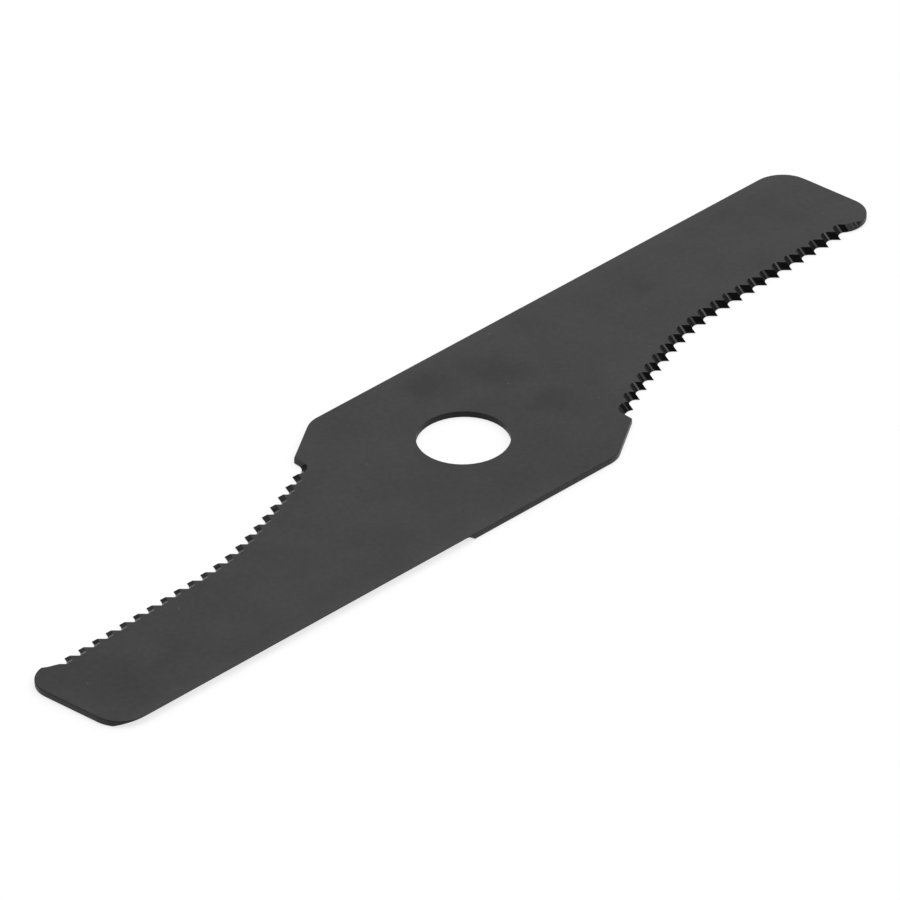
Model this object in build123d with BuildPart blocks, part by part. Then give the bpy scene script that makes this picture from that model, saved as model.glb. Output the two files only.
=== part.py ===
from build123d import *
from math import cos, radians, sin, tan
import os

os.makedirs("parts", exist_ok=True)

# One flat cutter blade stamped from spring steel, in millimetres. The arbor bore is on the Z axis, the arms
# lie along X, and the blade rests on its underside at Z 0. One arm is described here, the one towards +X;
# the other is the same arm turned by half a turn about the bore.

# Sheet and arbor bore
thickness = 1.8
bore_d = 25.4  # one inch arbor
edge_round = 0.25  # stamped edges, tumbled before anything is ground

# Outline of the blank
half_width = 34.85  # bore axis to the hub's edge, and on to the back edge of the arm
tip_reach = 158.6  # bore axis to the end of the arm, measured along X
tip_lean = 6.2  # the end leans back towards the hub by this angle
back_corner_r = 9.5  # end to back edge
toe_r = 7.8  # end to toothed edge
toe_drop = 0.25  # the toe hangs this far below the X axis
toe_wrap = 37.0  # the toe's round goes on past its lowest point by this angle
shoulder_x = 23.5  # where the hub's edge would meet the slanting shoulder
shoulder_deg = 33.5
shoulder_r = 8.5

# Toothed edge: equal round-bottomed gullets, all ground at one slant, on a line that bends
gullet_count = 21
pitch = 5.08  # five teeth to the inch
gullet_r = 1.9
steep_flank = 70.0  # flank that faces the arm's end
back_flank = 45.0  # flank that faces the hub
row_x, row_y = 45.9, -18.92  # centre of the first gullet's round, on the underside
row_in_deg, row_wide_r = 25.3, 285.0  # the row leaves the hub at this angle, in a wide bend
row_mid_deg, row_bend_r = 19.0, 68.0  # which tightens at this one
row_out_deg = 3.5  # and runs out straight to the toe at this one
grind_slant = 48.0  # the gullets are ground this far from upright, so that they open out downwards
grind_skew = 7.0  # and are turned this far towards the arm's end
blank_margin = 1.5  # metal left outside the row for grinding

# Relief notch between the shoulder and the first tooth
notch_x = 38.45  # its straight wall
notch_r = 3.2
notch_y = -23.25  # centre of its round

# Run-out from the last gullet to the toe, on the underside: two flats
runout_x, runout_y = 144.8, 0.85
runout_deg, runout_len = 21.0, 5.6
runout_end_deg, runout_end_len = 31.0, 5.0

# Knife bevel on the underside of the back edge, with the run-out of the grinding wheel at the hub
bevel_width = 4.45
edge_land = 0.1  # flat left at the cutting edge
bevel_x = 28.3  # where the wheel comes in
wheel_r = 4.0

overrun = 1.0  # cuts go past the sheet's faces by this much, and past its edge by the hub's half width


def turned(length, deg):
    return Vector(length * cos(radians(deg)), length * sin(radians(deg)))


# The row of gullets: a wide bend, a tighter one and a straight. Both bends turn clockwise.
row_start = Vector(row_x, row_y)
wide_centre = row_start - turned(row_wide_r, row_in_deg + 90)
bend_start = wide_centre + turned(row_wide_r, row_mid_deg + 90)
bend_centre = bend_start - turned(row_bend_r, row_mid_deg + 90)
bend_end = bend_centre + turned(row_bend_r, row_out_deg + 90)
wide_len = row_wide_r * radians(row_in_deg - row_mid_deg)
bend_len = row_bend_r * radians(row_mid_deg - row_out_deg)


def row(s):
    if s < wide_len:
        return wide_centre + turned(row_wide_r, row_in_deg + 90 - s / row_wide_r / radians(1))
    if s < wide_len + bend_len:
        return bend_centre + turned(row_bend_r, row_mid_deg + 90 - (s - wide_len) / row_bend_r / radians(1))
    return bend_end + turned(s - wide_len - bend_len, row_out_deg)


gullet_centres = [row(n * pitch) for n in range(gullet_count)]

# Half of the blank, from the hub's near edge round the arm to the hub's far edge
down = Vector(0, -blank_margin)
shoulder_tan = shoulder_r * tan(radians(shoulder_deg / 2))
shoulder_corner = Vector(shoulder_x, -half_width)
shoulder_out = notch_x + notch_r - shoulder_x
shoulder_end = shoulder_corner + Vector(shoulder_out, shoulder_out * tan(radians(shoulder_deg)))
end_normal = turned(1, tip_lean)


def end_centre(y, r):
    """centre of a round of radius r at height y that touches the end of the arm"""
    return Vector(tip_reach - (r + y * end_normal.Y) / end_normal.X, y)


toe_centre = end_centre(toe_r - toe_drop, toe_r)
back_centre = end_centre(half_width - back_corner_r, back_corner_r)
toe_inner = toe_centre - turned(toe_r, 90 - toe_wrap)

with BuildSketch() as half_blank:
    with BuildLine():
        Line((0, -half_width), shoulder_corner - Vector(shoulder_tan, 0))
        RadiusArc(
            shoulder_corner - Vector(shoulder_tan, 0),
            shoulder_corner + turned(shoulder_tan, shoulder_deg),
            -shoulder_r,
        )
        Line(shoulder_corner + turned(shoulder_tan, shoulder_deg), shoulder_end)
        # both ends of the row's margin step in squarely, where the notch and the run-out take them away
        Polyline(
            shoulder_end,
            shoulder_end + turned(blank_margin, shoulder_deg + 90),
            row(-pitch / 2) + down,
            bend_start + down,
        )
        RadiusArc(bend_start + down, bend_end + down, row_bend_r)
        Polyline(bend_end + down, toe_inner - turned(toe_r / 2, 90 - toe_wrap), toe_inner)
        CenterArc(toe_centre, toe_r, 270 - toe_wrap, 90 + toe_wrap + tip_lean)
        Line(toe_centre + end_normal * toe_r, back_centre + end_normal * back_corner_r)
        CenterArc(back_centre, back_corner_r, tip_lean, 90 - tip_lean)
        Polyline(back_centre + Vector(0, back_corner_r), (0, half_width), (0, -half_width))
    make_face()

# The slanting cut that makes the toothed edge, drawn below the underside and carried up along the slant
lean = tan(radians(grind_slant))
outward = Vector(lean * sin(radians(grind_skew)), -lean * cos(radians(grind_skew)))

with BuildSketch() as gullet:
    steep_touch = turned(gullet_r, 90 + steep_flank)
    back_touch = turned(gullet_r, 90 - back_flank)
    steep_far = steep_touch - turned(half_width / sin(radians(steep_flank)), steep_flank)
    back_far = back_touch + turned(half_width / sin(radians(back_flank)), -back_flank)
    with BuildLine():
        CenterArc((0, 0), gullet_r, 90 - back_flank, back_flank + steep_flank)
        Polyline(steep_touch, steep_far, back_far, back_touch)
    make_face()

with BuildSketch() as notch:
    notch_centre = Vector(notch_x + notch_r, notch_y)
    notch_last = notch_centre + turned(notch_r, 45)
    with BuildLine():
        CenterArc(notch_centre, notch_r, 45, 135)
        Polyline(
            notch_centre - Vector(notch_r, 0),
            notch_centre - Vector(notch_r, half_width),
            notch_last - Vector(0, half_width),
            notch_last,
        )
    make_face()

with BuildSketch() as runout:
    runout_in = Vector(runout_x, runout_y)
    runout_mid = runout_in + turned(runout_len, -runout_deg)
    runout_out = runout_mid + turned(runout_end_len, -runout_end_deg)
    with BuildLine():
        Polyline(
            runout_in,
            runout_mid,
            runout_out,
            runout_out - Vector(0, half_width),
            runout_in - Vector(0, half_width),
            close=True,
        )
    make_face()

with BuildPart() as toothed_cut:
    with BuildSketch(Plane.XY.offset(-overrun)):
        with Locations(*[Location(c + outward * overrun) for c in gullet_centres]):
            add(gullet.sketch)
        with Locations(Location(outward * overrun)):
            add(notch.sketch)
            add(runout.sketch)
    rise = Vector(-outward.X, -outward.Y, 1)
    extrude(amount=rise.length * (thickness + 2 * overrun), dir=rise)

# The knife bevel: a wheel of radius wheel_r travelling in the bevel's plane, drawn across that plane
bevel_deg = Vector(bevel_width, thickness - edge_land).get_angle(Vector(1, 0))
across = Vector(0, cos(radians(bevel_deg)), sin(radians(bevel_deg)))

with BuildPart() as bevel_cut:
    with BuildSketch(Plane((bevel_x, half_width, thickness - edge_land), (1, 0, 0), across)) as wheel_path:
        Rectangle(tip_reach, 2 * wheel_r, align=Align.MIN)
        fillet(wheel_path.vertices().sort_by(lambda v: v.X + v.Y)[0], wheel_r)
    extrude(amount=2 * bevel_width, both=True)

with BuildPart() as blade:
    with BuildSketch():
        with PolarLocations(0, 2):
            add(half_blank.sketch)
        Circle(bore_d / 2, mode=Mode.SUBTRACT)
    extrude(amount=thickness)
    # The round runs from each long edge along every edge that it flows into, from the toe to the shoulder
    fillet(blade.edges().filter_by(Axis.X), edge_round)
    with PolarLocations(0, 2):
        add(bevel_cut.part, mode=Mode.SUBTRACT)
        add(toothed_cut.part, mode=Mode.SUBTRACT)

blade.part.label = "blade"
export_step(blade.part, "parts/blade.step")
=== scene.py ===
from math import cos, radians, sin, tan

import bpy
from mathutils import Matrix, Vector


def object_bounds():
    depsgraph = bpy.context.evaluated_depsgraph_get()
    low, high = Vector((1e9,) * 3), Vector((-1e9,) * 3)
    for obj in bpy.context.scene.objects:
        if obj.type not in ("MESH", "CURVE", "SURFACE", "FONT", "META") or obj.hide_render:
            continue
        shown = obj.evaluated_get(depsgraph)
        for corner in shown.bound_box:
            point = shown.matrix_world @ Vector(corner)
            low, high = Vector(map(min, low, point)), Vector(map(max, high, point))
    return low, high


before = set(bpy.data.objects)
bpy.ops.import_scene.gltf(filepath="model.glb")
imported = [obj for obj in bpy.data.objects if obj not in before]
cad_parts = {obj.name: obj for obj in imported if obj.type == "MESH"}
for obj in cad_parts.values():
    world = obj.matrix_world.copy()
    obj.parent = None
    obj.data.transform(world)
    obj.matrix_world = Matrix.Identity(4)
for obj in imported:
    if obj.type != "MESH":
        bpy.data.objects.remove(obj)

cad_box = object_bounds()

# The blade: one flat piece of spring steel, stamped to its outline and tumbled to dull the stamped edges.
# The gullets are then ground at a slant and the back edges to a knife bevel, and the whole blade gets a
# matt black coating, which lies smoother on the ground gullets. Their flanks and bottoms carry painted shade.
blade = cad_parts["blade"]


class Shade:
    """One shader socket; sums and products of such sockets and numbers become Math nodes in its tree."""

    def __init__(self, tree, socket=None):
        self.tree, self.socket = tree, socket

    def node(self, kind, settings, sockets, out=0):
        """A node of any kind: its settings first, then the values or links of its sockets."""
        made = self.tree.nodes.new(kind)
        for name, value in settings.items():
            setattr(made, name, value)
        for name, value in sockets.items():
            if isinstance(value, Shade):
                self.tree.links.new(value.socket, made.inputs[name])
            else:
                made.inputs[name].default_value = value
        return Shade(self.tree, made.outputs[out] if made.outputs else None)

    def maths(self, operation, *values):
        return self.node("ShaderNodeMath", {"operation": operation}, dict(enumerate(values)))

    def vectors(self, operation, *values, out="Vector"):
        return self.node("ShaderNodeVectorMath", {"operation": operation}, dict(enumerate(values)), out)

    def __add__(self, other):
        return self.maths("ADD", self, other)

    def __sub__(self, other):
        return self.maths("SUBTRACT", self, other)

    def __rsub__(self, other):
        return self.maths("SUBTRACT", other, self)

    def __mul__(self, other):
        return self.maths("MULTIPLY", self, other)

    __radd__ = __add__
    __rmul__ = __mul__

    def over(self, other):
        """The greater of the two."""
        return self.maths("MAXIMUM", self, other)

    def rise(self, low, high):
        """0 below low, 1 above high, and a smooth step between them; high below low turns it round."""
        ends = {"From Min": low, "From Max": high}
        return self.node("ShaderNodeMapRange", {"interpolation_type": "SMOOTHSTEP"}, {"Value": self, **ends})

    def xyz(self):
        return [self.node("ShaderNodeSeparateXYZ", {}, {"Vector": self}, axis) for axis in "XYZ"]

    def dot(self, way):
        return self.vectors("DOT_PRODUCT", self, way, out="Value")

    def noise(self, scale, detail, dimensions="3D", out="Fac"):
        """Cloudy noise over these places: scale patches to the metre, and detail finer layers of them."""
        sockets = {"Vector": self, "Scale": scale, "Detail": detail}
        return self.node("ShaderNodeTexNoise", {"noise_dimensions": dimensions}, sockets, out)


def surface(name):
    """A new material, and its tree as a Shade to draw nodes from."""
    material = bpy.data.materials.new(name)
    material.use_nodes = True
    material.node_tree.nodes.clear()
    return material, Shade(material.node_tree)


def grey(level):
    return (level, level, level, 1)


mm = 0.001
top = cad_box[1].z
bore_r = 12.7 * mm
notch_start, notch_end = 37.5 * mm, 44.5 * mm  # along the arm, from its straight wall to the first tooth
third_tooth = 53 * mm  # along the arm
last_tooth = 147.2 * mm  # where the last flank ends on the underside, and the run-out to the toe begins
finish_step = 0.1 * mm  # over which one finish gives way to the next
grind_slant, grind_skew = radians(48), radians(7)
grind_way = Vector((-tan(grind_slant) * sin(grind_skew), tan(grind_slant) * cos(grind_skew), 1))


def flank_facing(lie):
    """The way that a ground flank faces, from the angle at which it lies in the plan, in degrees."""
    return Vector((cos(radians(lie)), sin(radians(lie)), 0)).cross(grind_way).normalized()


coating, tree = surface("matt_black_coating")
place = tree.node("ShaderNodeTexCoord", {}, {}, "Object")
facing = tree.node("ShaderNodeTexCoord", {}, {}, "Normal")

# One arm is the other turned by half a turn, so both are looked at as the one towards +X.
arm = tree.maths("SIGN", place.xyz()[0])
half_turn = tree.node("ShaderNodeCombineXYZ", {}, {0: arm, 1: arm, 2: 1.0})
arm_place = tree.vectors("MULTIPLY", place, half_turn)
arm_facing = tree.vectors("MULTIPLY", facing, half_turn)
along, across, height = arm_place.xyz()
faces_along, _, faces_up = arm_facing.xyz()
right_arm = 0.5 + 0.5 * arm
left_arm = 1 - right_arm

# The ground faces lean, and all lie along the way that they were ground. Each of their points has a foot on
# the underside, down that way, and grinding leaves streaks that way, so they are a pattern of the feet.
off_grind = tree.maths("ABSOLUTE", arm_facing.dot(grind_way.normalized()))
ground = off_grind.rise(0.06, 0.03) * faces_up.rise(0.08, 0.2)
climb = tree.vectors("MULTIPLY", height, grind_way)
foot = tree.vectors("SUBTRACT", arm_place, climb)
streaks = foot.noise(1300, 2, "2D").rise(0.4, 0.6)

# Painted shade: the flanks of each tooth are painted dark and dull, nearly black towards the hub. The bottom
# of each gullet and the wall of the bore get painted shade too, streaked, and strongest on the run-out from
# the last tooth to the toe. The two arms are shaded differently: dark on different sides of the notch, with a
# line left out of the shade for a highlight in the one towards +X, and the first two gullets towards -X get
# less.
to_hub = arm_facing.dot(flank_facing(-45))
to_end = arm_facing.dot(flank_facing(70))
runout = foot.xyz()[0].rise(last_tooth, last_tooth + finish_step)
less_shaded_gullets = left_arm * along.rise(third_tooth + mm, third_tooth)
# Painted shade on the tooth flanks and the gullet bottoms.
hub_flank_shade = to_hub.rise(0.93, 0.97) * (1 - runout)
end_flank_shade = (0.46 + 0.3 * streaks) * to_end.rise(0.93 + 0.05 * less_shaded_gullets, 0.985 + 0.01 * less_shaded_gullets)
gullet_shade = 0.9 * to_end.rise(0.42, 0.55) * to_end.rise(0.8, 0.7) * (1 - less_shaded_gullets)
# Painted shade in the notch, with a highlight line left out of it.
in_notch = along.rise(notch_start, notch_start + mm) * along.rise(notch_end, notch_end - mm)
unshaded_notch_line = faces_along.rise(-0.02, -0.05) * faces_along.rise(-0.13, -0.1)
right_notch_shade = right_arm * faces_along.rise(0.35, 0.2) * (1 - unshaded_notch_line)
left_notch_shade = 0.9 * left_arm * faces_along.rise(0.3, 0.4) * faces_along.rise(0.97, 0.9)
notch_shade = in_notch * (right_notch_shade + left_notch_shade)
# Painted shade along the grinding streaks and on the run-out.
streaked_shade = 0.3 * right_arm * streaks + runout * (0.1 + 0.1 * streaks)
# Painted shade on the bore's wall.
from_axis = tree.vectors("LENGTH", tree.vectors("MULTIPLY", place, (1, 1, 0)), out="Value")
bore_wall_shade = 0.35 * from_axis.rise(bore_r + finish_step, bore_r)
# All the painted shade together.
painted_shade = hub_flank_shade.over(end_flank_shade).over(bore_wall_shade).over(ground * gullet_shade.over(notch_shade).over(streaked_shade))

# The coating is mottled all over. Its top is darker in blots whose outlines drift: smudges from handling, and
# one broad blot that only darkens the hub's tone. It is rubbed paler along the back edge, and has a few pale
# specks, each in the middle of one in eight of the cells that it is divided into.
clouds = place.noise(55, 6) - 0.5
mottle = place.noise(650, 3) - 0.5
grain = place.noise(2200, 2) - 0.5
drift = tree.vectors("SUBTRACT", place.noise(140, 3, out="Color"), (0.5, 0.5, 0.5))
drifted = tree.vectors("MULTIPLY_ADD", drift, (9 * mm, 9 * mm, 9 * mm), place)
smudges = (  # x, y and radius in millimetres, and how dark
    # The first is the broad blot that only darkens the hub's tone.
    (14.0, -14.0, 45, 0.3),
    (9.7, 24.9, 11, 0.7),
    (27.6, 18.0, 11, 0.5),
    (28.5, -4.2, 8, 0.75),
    (84.4, 19.1, 6, 0.35),
    (-121.0, -19.0, 10, 0.25),
    (-142.6, -20.8, 14, 0.3),
)
smudged = 0
for smudge_x, smudge_y, radius, dark in smudges:
    distance = tree.vectors("DISTANCE", drifted, (smudge_x * mm, smudge_y * mm, top), out="Value")
    smudged = smudged + dark * distance.rise(radius * mm, 0)
rubbed = across.rise(29 * mm, 34.5 * mm)
cells = {"voronoi_dimensions": "2D"}, {"Vector": place, "Scale": 75}
cell_middle = tree.node("ShaderNodeTexVoronoi", *cells, "Distance").rise(0.03, 0.01)
cell_chosen = tree.node("ShaderNodeTexVoronoi", *cells, "Color").xyz()[0].rise(0.86, 0.88)
handled = faces_up.rise(0.9, 0.99) * (0.3 * rubbed - smudged + 2 * cell_middle * cell_chosen)

# The painted shade: where it lies, the colour turns to a near-black metal that gives back little light.
deep_black, pale_black, painted_shade_colour = grey(0.0015), grey(0.0175), grey(0.01)
shade = 0.57 + clouds + 0.9 * mottle + handled
blend = {"data_type": "RGBA", "clamp_factor": False}
coat = tree.node("ShaderNodeMix", blend, {0: shade.over(0), 6: deep_black, 7: pale_black}, out=2)
colour = tree.node("ShaderNodeMix", blend, {0: painted_shade, 6: coat, 7: painted_shade_colour}, out=2)
coat_rough, painted_shade_rough = 0.4 + 0.06 * grain - 0.05 * clouds - 0.2 * ground, 0.7
roughness = coat_rough + painted_shade * (painted_shade_rough - coat_rough)
bump = tree.node("ShaderNodeBump", {}, {"Strength": 0.25, "Distance": 0.02 * mm, "Height": grain})
# Metallic follows the painted shade, so those faces give back little light.
finish = tree.node(
    "ShaderNodeBsdfPrincipled",
    {},
    {
        "Base Color": colour,
        "Metallic": painted_shade,
        "Roughness": roughness,
        "Specular IOR Level": 0.3,
        "Normal": bump,
    },
)
tree.node("ShaderNodeOutputMaterial", {}, {"Surface": finish})
for slot in blade.material_slots:
    slot.material = coating

# The table: white card under the blade, wide enough to fill every view. A quarter of its white is the card's
# own colour in the light, which keeps the blade's shadow, and the rest is even white.
half_table = 4.0
table_drop = 0.2 * mm  # just clear of the underside
even_share = 0.75
corners = [(i * half_table, j * half_table, -table_drop) for i, j in ((-1, -1), (1, -1), (1, 1), (-1, 1))]
table_mesh = bpy.data.meshes.new("table")
table_mesh.from_pydata(corners, [], [(0, 1, 2, 3)])
table = bpy.data.objects.new("table", table_mesh)
bpy.context.scene.collection.objects.link(table)
card, tree = surface("white_card")
card_white = tree.node("ShaderNodeBsdfPrincipled", {}, {"Base Color": grey(0.95), "Roughness": 0.9})
even_white = tree.node("ShaderNodeEmission", {}, {"Color": grey(1), "Strength": 1.0})
rays = ("Is Camera Ray", "Is Glossy Ray", "Is Transmission Ray")
seen = sum(tree.node("ShaderNodeLightPath", {}, {}, ray) for ray in rays)
white = tree.node("ShaderNodeMixShader", {}, {0: even_share * seen, 1: card_white, 2: even_white})
tree.node("ShaderNodeOutputMaterial", {}, {"Surface": white})
table_mesh.materials.append(card)

# The light: an even dim room, a broad soft light overhead, one behind the blade that its faces mirror
# towards the camera, one on the right and a narrow one in front that picks out the gullets.
room = bpy.data.worlds.new("room")
room.use_nodes = True
room.node_tree.nodes["Background"].inputs["Color"].default_value = grey(0.35)
bpy.context.scene.world = room


def towards(azimuth, elevation):
    """The way to a place in the sky, in degrees: azimuth clockwise from +Y seen from above, and elevation."""
    level = cos(radians(elevation))
    return Vector((sin(radians(azimuth)) * level, cos(radians(azimuth)) * level, sin(radians(elevation))))


def soft_light(name, azimuth, elevation, spread, strength):
    """A soft round light at infinity, spread degrees wide; strength is what a face square to it gets."""
    light = bpy.data.lights.new(name, "SUN")
    light.angle, light.energy = radians(spread), strength
    lamp = bpy.data.objects.new(name, light)
    lamp.rotation_euler = towards(azimuth, elevation).to_track_quat("Z", "Y").to_euler()
    bpy.context.scene.collection.objects.link(lamp)


soft_light("overhead", azimuth=43, elevation=84, spread=60, strength=1.45)
soft_light("back", azimuth=58, elevation=27, spread=46, strength=0.44)
soft_light("right", azimuth=116, elevation=42, spread=44, strength=0.6)
soft_light("front", azimuth=160, elevation=47, spread=20, strength=0.4)

# The camera: a long lens that looks down on the blade from its near left. Its place and turn were fitted to
# the bore's ellipse and to the blade's straight edges.
camera_azimuth, camera_elevation, camera_roll = -43.2826, 33.8184, -0.938
camera_distance = 2.88699  # bore to lens, in metres
pixels_per_metre = 3756.7  # at the bore
bore_x, bore_y = 13.5546, -6.6503  # the bore in the picture, from its middle, in pixels right and down
picture_pixels = 900

back = towards(180 - camera_azimuth, camera_elevation)
level = Vector((cos(radians(camera_azimuth)), sin(radians(camera_azimuth)), 0))
turn = Matrix.Rotation(radians(camera_roll), 3, back)
right, up = turn @ level, turn @ back.cross(level)
lens = bpy.data.cameras.new("camera")
lens.sensor_width = 36
lens.lens = pixels_per_metre * camera_distance / picture_pixels * lens.sensor_width
lens.clip_end = 100
camera = bpy.data.objects.new("camera", lens)
camera.matrix_world = Matrix((right, up, back)).transposed().to_4x4()
camera.location = back * camera_distance + (up * bore_y - right * bore_x) / pixels_per_metre
bpy.context.scene.collection.objects.link(camera)
bpy.context.scene.camera = camera
bpy.context.scene.view_settings.view_transform = "Standard"
